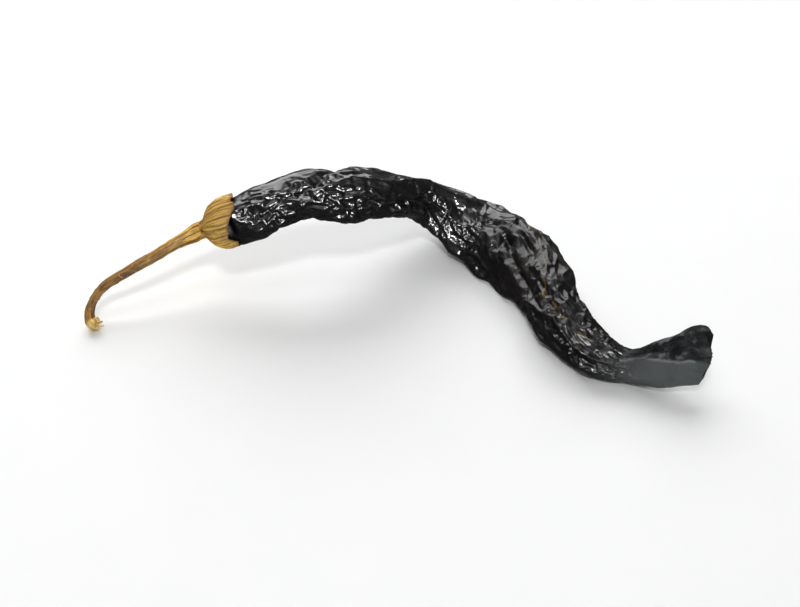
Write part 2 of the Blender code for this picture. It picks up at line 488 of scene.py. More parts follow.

# %% [markdown]
# ## The big folds
# The largest folds are where this pod bent and collapsed, and they are listed. Each is a
# line over the skin, from ring to ring: a crest stands up from it, a furrow is pressed in along
# it. A place on the skin is (millimetres from the calyx end, degrees round the pod), where 0 is
# the pod's upper edge, 90 the middle of the face we see, and 180 its lower edge.

# %% Places on the skin
LONG_FOLD = (
    (24, 124), (28, 99), (33, 80), (36, 68), (40, 80), (46, 88), (52, 76), (58, 66), (66, 50), (76, 36)
)
LOW_FOLD = ((120, 146), (124, 121), (128, 110), (132, 96), (136, 102), (140, 115), (145, 116), (150, 105))
TAIL_FOLD = ((152, 90), (156, 82), (160, 86), (164, 100), (168, 118), (172, 134))
CRESTS = (
    # height and half width (mm), places
    (1.0, 2.2, LONG_FOLD),
    (0.9, 1.3, ((84, 335), (92, 352), (99, 5), (106, 20), (111, 33), (116, 46), (121, 62))),
    (1.1, 0.8, LOW_FOLD),
    (1.2, 0.8, TAIL_FOLD[:5]),
    (1.6, 1.3, ((170, 4), (178, 358))),
    (0.7, 0.6, ((97, 28), (103, 40), (108, 60))),
    (0.7, 0.6, ((103, 16), (110, 46), (113, 76))),
    (0.6, 0.6, ((112, 12), (117, 32), (126, 50))),
    (0.6, 1.4, ((62, 118), (70, 104), (78, 92), (86, 88))),
    (0.7, 1.8, ((40, 250), (60, 262), (80, 250), (100, 262), (118, 250))),
)
FURROWS = (
    # depth and half width (mm), places; a depth below 0 is a swelling
    (1.7, 1.7, ((16, 88), (22, 96), (27, 77), (31, 38), (35, 8))),
    (1.5, 1.2, ((97, 64), (104, 94), (110, 109), (117, 114), (120, 133), (121, 170))),
    (1.0, 1.3, ((44, 150), (54, 128), (62, 132), (72, 150))),
    (0.8, 1.1, ((122, 150), (128, 130), (134, 116), (140, 132), (146, 132))),
    (0.7, 1.4, ((66, 70), (74, 62), (82, 66), (90, 50))),
    (0.8, 0.9, ((100, 44), (106, 54), (111, 66))),
    (0.8, 0.9, ((95, 18), (103, 26), (109, 36))),
    (1.1, 1.7, ((153, 66), (157, 54), (161, 56), (166, 74))),
    (1.0, 1.6, ((20, 210), (34, 236), (50, 220))),
    (1.3, 1.3, ((2.2, 350), (2.4, 30), (2.6, 90), (3.0, 145))),
    (-1.9, 4.2, ((3, 196), (9, 184))),
    (1.1, 1.6, ((86, 200), (98, 226), (112, 214), (126, 236))),
)


def places(rows, sides):
    """Every net point's place: millimetres from the calyx end, degrees round, girth in mm."""
    along = np.linspace(0, POD_LENGTH / MM, rows)
    turn = np.arange(sides) * 360 / sides
    girth = np.interp(along, np.linspace(0, POD_LENGTH / MM, len(pod_girth)), pod_girth / MM)
    return along[:, None], turn[None, :], girth[:, None]


def degrees_from(turn, middle):
    """How far `turn` is past `middle`, between -180 and 180 degrees."""
    return (turn - middle + 180) % 360 - 180


def bell(distance):
    """1 at distance 0, fading smoothly; a third is left at distance 1."""
    return np.exp(-(distance**2))


def away_from(line, along, turn, girth):
    """Distance (mm) over the skin from each net point to a line of places."""
    nearest = np.full((along.shape[0], turn.shape[1]), 1e3)
    for (a_along, a_turn), (b_along, b_turn) in zip(line, line[1:]):
        run = degrees_from(b_turn, a_turn)
        px = along - a_along
        py = degrees_from(turn, a_turn) * girth / 360
        qx, qy = b_along - a_along, run * girth / 360
        share = np.clip((px * qx + py * qy) / (qx**2 + qy**2), 0, 1)
        nearest = np.minimum(nearest, np.hypot(px - share * qx, py - share * qy))
    return nearest


def fold_height(rows, sides):
    """How far the big folds raise (or sink) each net point, in mm."""
    where = places(rows, sides)
    height = np.zeros((rows, sides))
    for rise, width, line in CRESTS:
        height += rise * np.exp(-away_from(line, *where) / width)
    for depth, width, line in FURROWS:
        height -= depth * bell(away_from(line, *where) / width)
    return height


def outward(net):
    """Unit normals of the net, pointing out of the pod."""
    down = np.gradient(net, axis=0)
    across = np.roll(net, -1, axis=1) - np.roll(net, 1, axis=1)
    normal = np.cross(down, across)
    normal /= np.linalg.norm(normal, axis=2, keepdims=True) + 1e-12
    from_middle = net - net.mean(axis=1, keepdims=True)
    return normal * np.sign((normal * from_middle).sum())


heights = fold_height(320, 76)
print("big folds (mm): from", round(heights.min(), 1), "to", round(heights.max(), 1))

# %% [markdown]
# ## Too much skin
# Small wrinkles come from a simulation of what drying does. The net is treated as skin whose
# threads are all longer than the room they have. In each step every thread pushes its ends
# apart, the skin resists sharp bends, and the flesh under it holds it near the pod's form. The
# skin can only fit by buckling. It runs on a coarse net first, where it makes the larger
# buckles, then on nets twice and four times as fine, where small ones form on those. Blender's
# cloth could do the same; a few lines of array maths keep every thread in hand.

# %% Random unevenness of the skin
FINE_ROWS, FINE_SIDES = 640, 152  # the finest net


def dapple(rows, sides, spot, seed, stretch=1.0):
    """A smooth random field on the net, mean 0 and spread 1; spots are about `spot` mm across."""
    chance = np.random.default_rng(seed).normal(size=(FINE_ROWS, FINE_SIDES))
    step_along = POD_LENGTH / MM / FINE_ROWS
    step_round = pod_girth.mean() / MM / FINE_SIDES
    along = np.fft.fftfreq(FINE_ROWS)[:, None] / step_along
    around = np.fft.fftfreq(FINE_SIDES)[None, :] / step_round
    keep = np.exp(-((along * spot * stretch) ** 2 + (around * spot) ** 2) * 2)
    field = np.fft.ifft2(np.fft.fft2(chance) * keep).real
    field = (field - field.mean()) / field.std()
    return field[:: FINE_ROWS // rows, :: FINE_SIDES // sides][:rows, :sides]


print("unevenness: up to", round(dapple(320, 76, 8, 11).max(), 1), "times its spread")


# %% Small folds strewn over the skin
FOLDS = 330
FOLD_SLANT = 24  # degrees most of them lean off the pod's length
FACET_LIFT = 0.55  # mm that the hollows between facets take away on average


def strewn_folds(rows, sides):
    """Height (mm) of many short, sharp folds at random places, most running along the pod."""
    chance = np.random.default_rng(21)
    along, turn, girth = places(rows, sides)
    height = np.zeros((rows, sides))
    for _ in range(FOLDS):
        middle, side = chance.uniform(4, POD_LENGTH / MM - 6), chance.uniform(0, 360)
        heading = math.radians(FOLD_SLANT + chance.normal(0, 34))
        half, kink = chance.uniform(1.5, 6.5), chance.normal(0, 0.16)
        width, rise = chance.uniform(0.55, 1.3), chance.uniform(0.15, 0.62)
        per_mm = 360 / np.interp(middle, along[:, 0], girth[:, 0])
        line = []
        for reach, aside in ((-half, 0), (0, kink * half), (half, 0)):
            forward = reach * math.cos(heading) - aside * math.sin(heading)
            sideways = reach * math.sin(heading) + aside * math.cos(heading)
            line.append((middle + forward, side + sideways * per_mm))
        near = np.flatnonzero(np.abs(along[:, 0] - middle) < half + 5)
        off = away_from(line, along[near], turn, girth[near])
        if chance.uniform() < 0.6:
            height[near] += rise * np.exp(-off / width)
        else:
            height[near] -= rise * bell(off / width)
    facets = 0.50 * np.abs(dapple(rows, sides, 7, 17, 1.5))
    facets = facets + 0.24 * np.abs(dapple(rows, sides, 3.4, 18, 1.6))
    return height + FACET_LIFT - facets


print("small folds (mm): spread", round(strewn_folds(160, 38).std(), 2))

# %% The drying skin
THREADS = ((1, 0), (0, 1), (1, 1), (1, -1), (2, 1), (2, -1), (1, 2), (1, -2))  # rings, places
SPARE_ALONG, SPARE_ROUND = 0.6, 1.35  # a pod shrinks more in girth than in length


def lay_threads(form, excess):
    """For each set of threads that share no end: their two ends and their grown length."""
    rows, sides = form.shape[:2]
    flat = form.reshape(-1, 3)
    spare = excess.reshape(-1)
    sets = []
    for rings_on, places_on in THREADS:
        i, k = np.mgrid[0 : rows - rings_on, 0:sides]
        for part in (0, 1):
            chosen = (i // rings_on if rings_on else k) % 2 == part
            first = (i * sides + k)[chosen]
            second = ((i + rings_on) * sides + (k + places_on) % sides)[chosen]
            room = np.linalg.norm(flat[first] - flat[second], axis=1)
            share = SPARE_ALONG * rings_on**2 + SPARE_ROUND * places_on**2
            share = share / (rings_on**2 + places_on**2)
            length = room * (1 + share * (spare[first] + spare[second]) / 2)
            sets.append((first, second, length))
    return sets


def bump_of(field):
    """How far the middle of a net point's eight neighbours is from the point."""
    wide = np.concatenate((field[:1], field, field[-1:]))
    left, right = np.roll(wide, 1, axis=1), np.roll(wide, -1, axis=1)
    beside = wide[:-2] + wide[2:] + left[1:-1] + right[1:-1]
    corner = left[:-2] + left[2:] + right[:-2] + right[2:]
    return (2 * beside + corner) / 12 - field


def dry(form, moved, excess, steps, bend, hold):
    """Lets skin with `excess` of length settle on `form`; `moved` is where it starts, off it."""
    sets = lay_threads(form, excess)
    skin = (form + moved).reshape(-1, 3)
    for _ in range(steps):
        for first, second, length in sets:
            gap = skin[second] - skin[first]
            now = np.sqrt((gap * gap).sum(axis=1)) + 1e-12
            push = gap * (0.5 * (now - length) / now)[:, None]
            skin[first] += push
            skin[second] -= push
        off = skin.reshape(form.shape) - form
        off -= bend * bump_of(bump_of(off))
        off *= (1 - hold)[..., None]
        skin = (form + off).reshape(-1, 3)
        skin[:, 2] = np.maximum(skin[:, 2], solid_box[0].z)
    return skin.reshape(form.shape) - form


CRISP = 1.4  # sharpens the finished creases
# rings, places, spare length of the skin, steps, stiffness, hold of the flesh
STAGES = (
    (160, 38, 0.010, 60, 0.9, 0.012),
    (320, 76, 0.022, 90, 0.6, 0.012),
    (FINE_ROWS, FINE_SIDES, 0.050, 75, 0.38, 0.020),
)

moved = None
for rows, sides, excess, steps, bend, hold in STAGES:
    form = pod_net(rows, sides)
    along, turn, girth = places(rows, sides)
    at_tail = np.clip((along - 146) / 8, 0, 1)  # the tail stays smooth
    loose = np.clip((along - 4) / 8, 0, 1)  # the calyx holds the skin's first millimetres
    facing_us = bell(degrees_from(turn, 110) / 62)
    far_side = bell(degrees_from(turn, 285) / 58)
    calm = np.exp(-((degrees_from(turn, 20) / 52) ** 4)) * np.clip((82 - along) / 15, 0, 1)
    loose = loose * (1 - 0.45 * calm)  # the top of the shoulder is taut
    lively = np.exp(-(((along - 110) / 17) ** 2) - ((turn - 45) / 42) ** 2)
    strewn = strewn_folds(rows, sides) * loose * (0.42 + 0.43 * (facing_us + far_side))
    strewn = strewn * (1 + 0.9 * lively)
    strewn = strewn * (1 - 0.6 * at_tail)
    folds = fold_height(rows, sides) + strewn
    form = form + outward(form) * folds[..., None] * MM
    spare = excess * loose * (1 - 0.82 * at_tail) * (0.5 + 0.6 * facing_us + 0.45 * far_side)
    spare = spare * np.clip(1 + 1.1 * dapple(rows, sides, 8, 11), 0, 3)
    grip = hold * np.clip(1 + 0.4 * dapple(rows, sides, 7, 12), 0.3, 2)
    start = outward(form) * dapple(rows, sides, 800 / rows, 13)[..., None] * (20 / rows) * MM
    moved = start if moved is None else start + along_rows(round_rings(moved, sides), rows)
    moved = dry(form, moved, spare, steps, bend, grip)
    wrinkle = (moved * outward(form)).sum(axis=2)
    lowest, highest = round(wrinkle.min() / MM, 2), round(wrinkle.max() / MM, 2)
    print(rows, "rings: wrinkles (mm) from", lowest, "to", highest)
moved = moved - CRISP * bump_of(moved)
skin = form + moved

# %% Close the tail
TAIL_ROUND = 2.6  # mm of the tail's end over which its skin turns in
TAIL_SHUT = 2.3  # mm it turns in by
TAIL_BULGE = 2.4  # mm its middle stands out
TAIL_LOW_BULGE = 0.9  # mm more below the tail's fold
TAIL_CORNER = 162  # degrees round, where the end turns in most

to_tail = np.clip((along - (along.max() - TAIL_ROUND)) / TAIL_ROUND, 0, 1)
rounded = 0.15 + 1.1 * np.clip(1 - (np.abs(degrees_from(turn, TAIL_CORNER)) / 34), 0, 1)
pucker = 1 + 0.08 * np.cos(np.radians(5 * turn) + 1)
shut = TAIL_SHUT * (1 - np.sqrt(1 - to_tail**2)) * pucker * np.clip(girth / 34, 0.5, 1)
from_middle = np.linalg.norm(skin - skin.mean(axis=1, keepdims=True), axis=2)
inner = 1 - (from_middle / from_middle.max(axis=1, keepdims=True)) ** 2
shut = shut * (rounded + (1 - rounded) * inner)
skin = skin - outward(pod_net(*skin.shape[:2])) * shut[..., None] * MM
below_fold = bell((turn - 108) / 32)
bulge = (TAIL_BULGE * (inner - 0.15) + TAIL_LOW_BULGE * below_fold) * to_tail**2
skin = skin + np.array(pod_ends[1][2]) * bulge[..., None] * MM
print("tail shut by up to (mm):", round(shut.max(), 1))

# %% Turn the net into a mesh
def skin_mesh(name, net):
    """A closed mesh through the rings of a net, with a fan over each end."""
    rows, sides = net.shape[:2]
    corners = net.reshape(-1, 3).tolist()
    corners += [net[0].mean(axis=0).tolist(), net[-1].mean(axis=0).tolist()]
    i, k = np.mgrid[0 : rows - 1, 0:sides]
    on = (k + 1) % sides
    quads = (i * sides + k, i * sides + on, (i + 1) * sides + on, (i + 1) * sides + k)
    faces = np.stack(quads, axis=-1).reshape(-1, 4).tolist()
    last = (rows - 1) * sides
    faces += [(rows * sides, (j + 1) % sides, j) for j in range(sides)]
    faces += [(rows * sides + 1, last + j, last + (j + 1) % sides) for j in range(sides)]
    mesh = bpy.data.meshes.new(name)
    mesh.from_pydata(corners, [], faces)
    mesh.validate()
    tidy = bmesh.new()
    tidy.from_mesh(mesh)
    bmesh.ops.recalc_face_normals(tidy, faces=tidy.faces[:])
    tidy.to_mesh(mesh)
    tidy.free()
    mesh.shade_smooth()
    made = bpy.data.objects.new(name, mesh)
    bpy.context.scene.collection.objects.link(made)
    return made


def store(piece, name, values):
    """Keeps a number for each corner of the mesh, for its finish to use."""
    kept = piece.data.attributes.new(name, "FLOAT", "POINT")
    flat = np.concatenate((np.asarray(values, float).reshape(-1), [0.0, 0.0]))  # 0 at both fans
    kept.data.foreach_set("value", flat[: len(piece.data.vertices)])


pod_skin = skin_mesh("pod_skin", skin)
store(pod_skin, "along", np.broadcast_to(along, wrinkle.shape))
store(pod_skin, "rise", wrinkle / MM)
print("pod skin:", len(pod_skin.data.vertices), "corners,", len(pod_skin.data.polygons), "faces")

# %% Where seeds and inner skin shine through
STREAKS = (
    # half width (mm), places
    (0.50, ((124, 88), (127, 76), (130, 70))),
    (0.40, ((131, 84), (135, 74), (139, 70), (143, 74))),
    (0.32, ((119, 66), (123, 72), (127, 84))),
    (0.34, ((90, 348), (96, 2), (103, 18), (107, 30))),
    (0.28, ((112, 40), (116, 50), (119, 62))),
    (0.35, ((60, 240), (68, 252))),
    (0.40, ((131, 262), (138, 256))),
)
streaks = np.zeros_like(wrinkle)
wander = 3.0 * dapple(*wrinkle.shape, 3, 15)
for width, line in STREAKS:
    near = away_from(line, along, turn + wander, girth)
    streaks = np.maximum(streaks, bell(near / width))
streaks = streaks * np.clip(0.8 + 0.6 * dapple(*wrinkle.shape, 2.5, 16), 0, 1)
store(pod_skin, "streak", streaks)

GLINT_HALF = 0.32  # mm, half the width of the pale line painted along the tail's fold as its highlight
swing = (turn + 90) % 360 - 90
fold_at = np.interp(along, *zip(*TAIL_FOLD))
above = np.clip((fold_at - swing) / 9 + 0.5, 0, 1) * np.clip((swing + 50) / 20, 0, 1)
store(pod_skin, "upper", above)
# Painted highlight: a pale line along the tail's fold, where its crest catches the light.
painted_glint = bell(away_from(TAIL_FOLD, along, turn, girth) / GLINT_HALF)
store(pod_skin, "painted_glint", painted_glint * np.clip(0.75 + 0.5 * dapple(*wrinkle.shape, 3, 19), 0, 1))


def store_lay(piece, along, turn, reach):
    """Keeps, for each corner, a place in metres that runs straight along the piece."""
    rows, sides = len(along), len(turn)
    lay = np.zeros((rows, sides, 3))
    lay[..., 0] = np.cos(turn)[None, :] * reach
    lay[..., 1] = np.sin(turn)[None, :] * reach
    lay[..., 2] = along[:, None]
    kept = piece.data.attributes.new("lay", "FLOAT_VECTOR", "POINT")
    flat = np.concatenate((lay.reshape(-1), np.zeros(6)))
    kept.data.foreach_set("vector", flat[: 3 * len(piece.data.vertices)])


store_lay(pod_skin, along[:, 0] * MM, np.radians(turn[0]), girth * MM / (2 * math.pi))
print("skin with a streak on it (%):", round(100 * (streaks > 0.5).mean(), 1))

# %% [markdown]
# ## The calyx
# The calyx is the green cap that the flower left, dried to a papery cup. It is widest at a
# ragged rim, its outside is finely ribbed along its length, and where the stalk comes out the
# stalk's own ridges run on over it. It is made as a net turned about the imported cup's axis.

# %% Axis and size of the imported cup
stem_low, stem_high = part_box("stem")
cup_solid = welded("calyx")
cup_ends = flat_ends(cup_solid, (stem_low + stem_high) / 2)
cup_solid.free()
CUP_TOOTH = 0.45 * MM  # how far the solid's blunt teeth reach past its length

cup_base = cup_ends[0][1]
cup_axis = -cup_ends[0][2]
cup_side = cup_axis.cross(Vector((0, 0, 1))).normalized()
cup_over = cup_side.cross(cup_axis)
cup_depth, cup_radius = 0.0, 0.0
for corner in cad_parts["calyx"].data.vertices:
    reach = corner.co - cup_base
    cup_depth = max(cup_depth, reach.dot(cup_axis))
    cup_radius = max(cup_radius, (reach - cup_axis * reach.dot(cup_axis)).length)
cup_length = cup_depth - CUP_TOOTH
print("cup (mm): length", round(cup_length / MM, 1), "radius", round(cup_radius / MM, 1))

# %% Waves round a ring
def ragged(turn, waves, seed, fall=0.7, slide=0.0):
    """A wavy line round a ring: waves with these counts, set off at random, each one weaker."""
    chance = np.random.default_rng(seed)
    total = np.zeros(np.broadcast(turn, slide).shape)
    for i, count in enumerate(waves):
        total += fall**i * np.cos(count * turn + chance.uniform(0, 2 * math.pi) + slide * (-1) ** i)
    return total


def stalk_ridges(turn):
    """The stalk's stout ridges, 0 in a groove and 1 on a crest; the calyx shares them."""
    uneven = turn + 0.28 * np.sin(turn + 0.8) + 0.14 * np.sin(2 * turn + 2.0)
    return np.abs(np.sin(3 * uneven + 0.9)) ** 0.55 * (0.85 + 0.15 * np.cos(2 * uneven + 1))


round_stalk = stalk_ridges(np.radians(np.arange(360)))
is_crest = (round_stalk > np.roll(round_stalk, 1)) & (round_stalk > np.roll(round_stalk, -1))
print("ridges round the stalk:", is_crest.sum())

# %% Build the cup
CUP_SIDES = 420
CUP_ROWS = 72
CUP_FORM = (  # share of the way to the rim, share of the full radius
    (0, 0.26), (0.12, 0.29), (0.22, 0.38), (0.32, 0.57), (0.46, 0.80), (0.64, 0.94), (0.82, 0.98), (1, 0.94)
)
# reach (mm), place and half width (degrees) of the rim's lobes
CUP_LOBES = ((4.6, 66, 32), (2.7, 124, 34), (2.0, -38, 26), (-1.2, -100, 34))
CUP_WALL = 0.55 * MM
CUP_FLOOR_AT = 0.22
CUP_INNER_ROWS = 26

cup_turn = turns_round(CUP_SIDES)
nicks = ragged(cup_turn, (19, 29, 43, 61, 83, 109), 22, 0.9)
nicks = nicks * (0.5 + 0.4 * ragged(cup_turn, (2, 5), 29))
teeth = 0.36 * ragged(cup_turn, (4, 7, 11), 21) + 0.085 * nicks
for reach, middle, half in CUP_LOBES:
    teeth = teeth + reach * bell(degrees_from(np.degrees(cup_turn), middle) / half)
rib_turn = cup_turn + 0.03 * ragged(cup_turn, (3, 7, 13), 23)
ribs = 0.5 * np.cos(46 * rib_turn) + 0.35 * np.cos(31 * rib_turn + 1) + 0.3 * np.cos(83 * rib_turn)
veins = np.clip(ragged(cup_turn, (5, 9, 14), 24, 0.6), 0, 2)


def cup_ring(share, inset, outside):
    """One ring of the cup, `share` of the way to the rim, moved in by `inset`."""
    radius = np.interp(share, *zip(*CUP_FORM)) * (cup_radius - 0.2 * MM) - inset
    body = radius + 0.12 * MM * ragged(cup_turn, (2, 3, 5), 25)
    by_stalk = max(0.0, 1 - share / 0.42) ** 1.5
    if outside:
        body = body + ribs * 0.075 * MM * min(1, share / 0.15)
        body = body + veins * 0.06 * MM * (1 - share * 0.6)
        body = body + (stalk_ridges(cup_turn) - 0.6) * by_stalk * 0.75 * MM
        body = body + 0.045 * MM * ragged(cup_turn, (17, 29, 37), 26, slide=5 * share)
    depth = cup_length * share + teeth * MM * share**2.5 * 0.9
    lean = 0.28 * MM * share**6 * ragged(cup_turn, (6, 13, 19), 27)
    out = (body + lean)[:, None]
    spoke = np.cos(cup_turn)[:, None] * np.array(cup_side)
    spoke = spoke + np.sin(cup_turn)[:, None] * np.array(cup_over)
    return np.array(cup_base) + depth[:, None] * np.array(cup_axis) + out * spoke


down_inside = np.linspace(0.985, CUP_FLOOR_AT, CUP_INNER_ROWS)
thicker = 1 + 1.3 * np.linspace(0, 1 - CUP_FLOOR_AT, CUP_INNER_ROWS)
cup_shares = np.concatenate((np.linspace(0, 1, CUP_ROWS), [1, 1], down_inside))
cup_insets = np.concatenate((np.zeros(CUP_ROWS), [0.4, 0.8], thicker)) * CUP_WALL
cup_rings = [
    cup_ring(share, inset, i < CUP_ROWS + 1)
    for i, (share, inset) in enumerate(zip(cup_shares, cup_insets))
]
calyx_husk = skin_mesh("calyx_husk", np.array(cup_rings))
store(calyx_husk, "share", np.repeat(cup_shares, CUP_SIDES))
store(calyx_husk, "inner", np.repeat(np.arange(len(cup_shares)) > CUP_ROWS, CUP_SIDES))
store(calyx_husk, "rib", np.tile(ribs, len(cup_shares)))
store(calyx_husk, "groove", np.tile(1 - stalk_ridges(cup_turn), len(cup_shares)))
store_lay(calyx_husk, cup_shares * cup_length, cup_turn, np.full((len(cup_shares), 1), cup_radius))
print("calyx:", len(calyx_husk.data.polygons), "faces")

# %% [markdown]
# ## The stem
# The stalk is wood by now. Out of the calyx come stout ridges with grooves between, which soon
# fade into fine lines; then it thins, hooks over and ends where it was torn from the plant, in a
# pale frayed fork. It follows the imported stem's own line and thickness, found with rays.

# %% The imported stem's line and thickness
STEM_POINTS = 90
STEM_ROWS = 420
STEM_SIDES = 120
FORK = 1.5 * MM  # how far the torn prongs stick out
HOOK = 55  # degrees more by which the very end turns
HOOK_FROM = 0.94  # share of the stem's length
TORN_FROM = 0.93
FRAY_ROWS = 14
WARTS = 46
INTO_CALYX = 0.9 * MM  # how far the stem's hidden end reaches into the calyx


def carried_frames(points, first_across):
    """Unit vectors along and across a line, carried along it without a twist."""
    along = unit(np.gradient(points, axis=0))
    across = np.zeros_like(along)
    carried = np.array(first_across)
    for i, heading in enumerate(along):
        carried = carried - heading * carried.dot(heading)
        carried /= np.linalg.norm(carried)
        across[i] = carried
    return along, across, np.cross(across, along)


stem_solid = welded("stem")
stem_ends = flat_ends(stem_solid, cup_base)
stem_line = even_line(soften(rough_line(stem_solid, stem_ends, 30), 1), STEM_POINTS)
stem_tree = BVHTree.FromBMesh(stem_solid)
stem_solid.free()
for _ in range(3):
    _, stem_across, stem_up = carried_frames(stem_line, cup_side)
    stem_rings = rays_round(stem_tree, stem_line, stem_across, stem_up, 24)
    stem_line[1:-1] = stem_rings[1:-1].mean(axis=1)
    stem_line = even_line(soften(stem_line, 2), STEM_POINTS)
stem_thick = np.linalg.norm(stem_rings - stem_rings.mean(axis=1, keepdims=True), axis=2).mean(axis=1)
stem_thick[0], stem_thick[-1] = stem_thick[1], stem_thick[-2]
stem_line[0] = np.array(cup_base + cup_axis * INTO_CALYX)
stem_length = length_of(stem_line)
print("stem (mm): length", round(stem_length / MM, 1))
print("stem radius (mm):", (stem_thick[[2, 15, 30, 60, 87]] / MM).round(2))

# %% Build the stem
stem_turn = turns_round(STEM_SIDES)[None, :]
stem_share = np.linspace(0, 1, STEM_ROWS)[:, None]
from_calyx = stem_share * stem_length / MM
stem_path = along_rows(stem_line, STEM_ROWS)
steps = np.diff(stem_path, axis=0)
hooked = np.radians(HOOK) * np.clip((stem_share[1:] - HOOK_FROM) / 0.05, 0, 1)
to_right = np.array((1.0, 0.0, 0.0)) - steps * steps[:, :1] / (steps * steps).sum(axis=1, keepdims=True)
stride = np.linalg.norm(steps, axis=1, keepdims=True)
to_right *= stride / np.linalg.norm(to_right, axis=1, keepdims=True)
steps = (steps * np.cos(hooked) + to_right * np.sin(hooked)) * (1 - 0.08 * (hooked > 0))
stem_path[1:] = stem_path[0] + np.cumsum(steps, axis=0)
stem_radius = along_rows(stem_thick[:, None], STEM_ROWS)
stem_along, stem_across, stem_up = carried_frames(stem_path, cup_side)

ridge_height = 0.10 + 0.62 * np.exp(-from_calyx / 6.5) + 0.16 * bell((from_calyx - 17) / 9)
slim = 1 - 0.12 * bell((from_calyx - 35) / 6)
body = slim * stem_radius / MM + ridge_height * (stalk_ridges(stem_turn + 0.012 * from_calyx) - 0.62)
body = body + 0.035 * ragged(stem_turn, (13, 19, 27), 31, 0.9, slide=0.25 * from_calyx)
body = body + 0.020 * ragged(stem_turn, (8, 21, 33), 32, 1.0, slide=1.7 * from_calyx)
body = body + 0.05 * ragged(stem_turn, (1, 2), 33, slide=0.6 * from_calyx)
chance = np.random.default_rng(34)
for _ in range(WARTS):
    spot, side = chance.uniform(9, 43), chance.uniform(0, 2 * math.pi)
    height = chance.uniform(0.04, 0.14)
    swing = np.abs((stem_turn - side + math.pi) % (2 * math.pi) - math.pi) * 1.5
    body = body + height * np.exp(-(((from_calyx - spot) / 0.55) ** 2) - (swing / 0.38) ** 2)
for spot, height in ((33.5, 0.10), (36.0, 0.07), (26.0, 0.05)):  # faint rings where the hook creased
    body = body + height * bell((from_calyx - spot) / 0.5) * (0.5 + 0.5 * np.cos(stem_turn + 2))

torn = np.clip((stem_share - TORN_FROM) / 0.07, 0, 1)
splinters = np.clip(ragged(stem_turn, (2, 3), 38, 0.5), -1, 1.2)
splinters = splinters + 0.28 * ragged(stem_turn, (7, 11, 17), 36, 0.9)
body = body + torn**1.3 * (0.30 + 0.10 * ragged(stem_turn, (3, 5, 9), 37))
stretch = 0.75 * splinters * torn**1.5
spoke = np.cos(stem_turn)[..., None] * stem_across[:, None]
spoke = spoke + np.sin(stem_turn)[..., None] * stem_up[:, None]
stem_net = stem_path[:, None] + body[..., None] * MM * spoke
stem_net = stem_net + stretch[..., None] * MM * stem_along[:, None]

fork_side = np.cross(stem_along[-1], (0, -0.77, 0.64))
crosswise = np.clip(np.abs(spoke @ (fork_side / np.linalg.norm(fork_side))), 0, 1)
prong = FORK * torn**1.5 * crosswise**2.5
stem_net = stem_net + prong[..., None] * (stem_along[-1] + np.array((0.25, 0, 0)))

drop = stem_net[..., 2].min() - solid_box[0].z  # the torn end rests on the table
sag = np.clip((from_calyx - 24) / (from_calyx.max() - 24), 0, 1) ** 2
stem_net[..., 2] -= drop * sag
stem_path[:, 2:] -= drop * sag
print("stem end let down by (mm):", round(drop / MM, 2))

frayed = []
for i in range(1, FRAY_ROWS + 1):  # the torn face, ring by ring in to its middle
    inward = i / FRAY_ROWS
    rough = 0.16 * ragged(stem_turn[0], (9, 14, 22, 31), 40 + i % 3, 0.9)
    depth = (-0.95 * math.sin(math.pi * 0.5 * inward) + rough * math.sin(math.pi * inward)) * MM
    ring = stem_net[-1] * (1 - inward * 0.97) + stem_path[-1] * inward * 0.97
    frayed.append(ring + np.asarray(depth)[:, None] * stem_along[-1])
stem_net = np.concatenate((stem_net, np.array(frayed)))
stem_net[..., 2] = np.maximum(stem_net[..., 2], solid_box[0].z + 0.02 * MM)
stem_bark = skin_mesh("stem_bark", stem_net)

ends_on = np.concatenate((from_calyx[:, 0], np.full(FRAY_ROWS, from_calyx.max() + 0.5)))
torn_face = (FRAY_ROWS, STEM_SIDES)
torn_all = np.concatenate((np.broadcast_to(torn, body.shape), np.ones(torn_face)))
grooves = 1 - stalk_ridges(stem_turn + 0.012 * from_calyx)
grooves = np.concatenate((grooves, np.zeros(torn_face)))
store(stem_bark, "along", np.repeat(ends_on, STEM_SIDES))
store(stem_bark, "torn", torn_all)
store(stem_bark, "groove", grooves)
store_lay(stem_bark, ends_on * MM, stem_turn[0], np.full((len(ends_on), 1), 1.6 * MM))
print("stem:", len(stem_bark.data.polygons), "faces")

# %% [markdown]
# ## The pod's finish
# Dried chilli skin is nearly black, with brown where it is stretched thin over a fold and a few
# olive streaks where the pale inside shows through. It is waxy: a dull sheen under a thin, sharp
# gloss. Towards the tail the wax has rubbed off, and the skin is a matt, mottled grey. One shader
# can't fade from gloss to chalk there without a grey veil, so a second, matt one is mixed in.

# %% Pod finish
chilli = Finish("pod_skin_finish")
place = chilli.place()
rise, streak = chilli.attribute("rise"), chilli.attribute("streak")
tail = chilli.band(chilli.attribute("along"), 143, 158)
cloud = chilli.noise(place, 140, 5, 0.62)
patch = chilli.noise(place, 45, 3, 0.5)
mottle = chilli.noise(place, 330, 4, 0.6)
pores = chilli.noise(place, 1500, 3, 0.6)
drawn = chilli.drawn_out(0.22)
threads = chilli.noise(drawn, 900, 4, 0.6, 0.8)

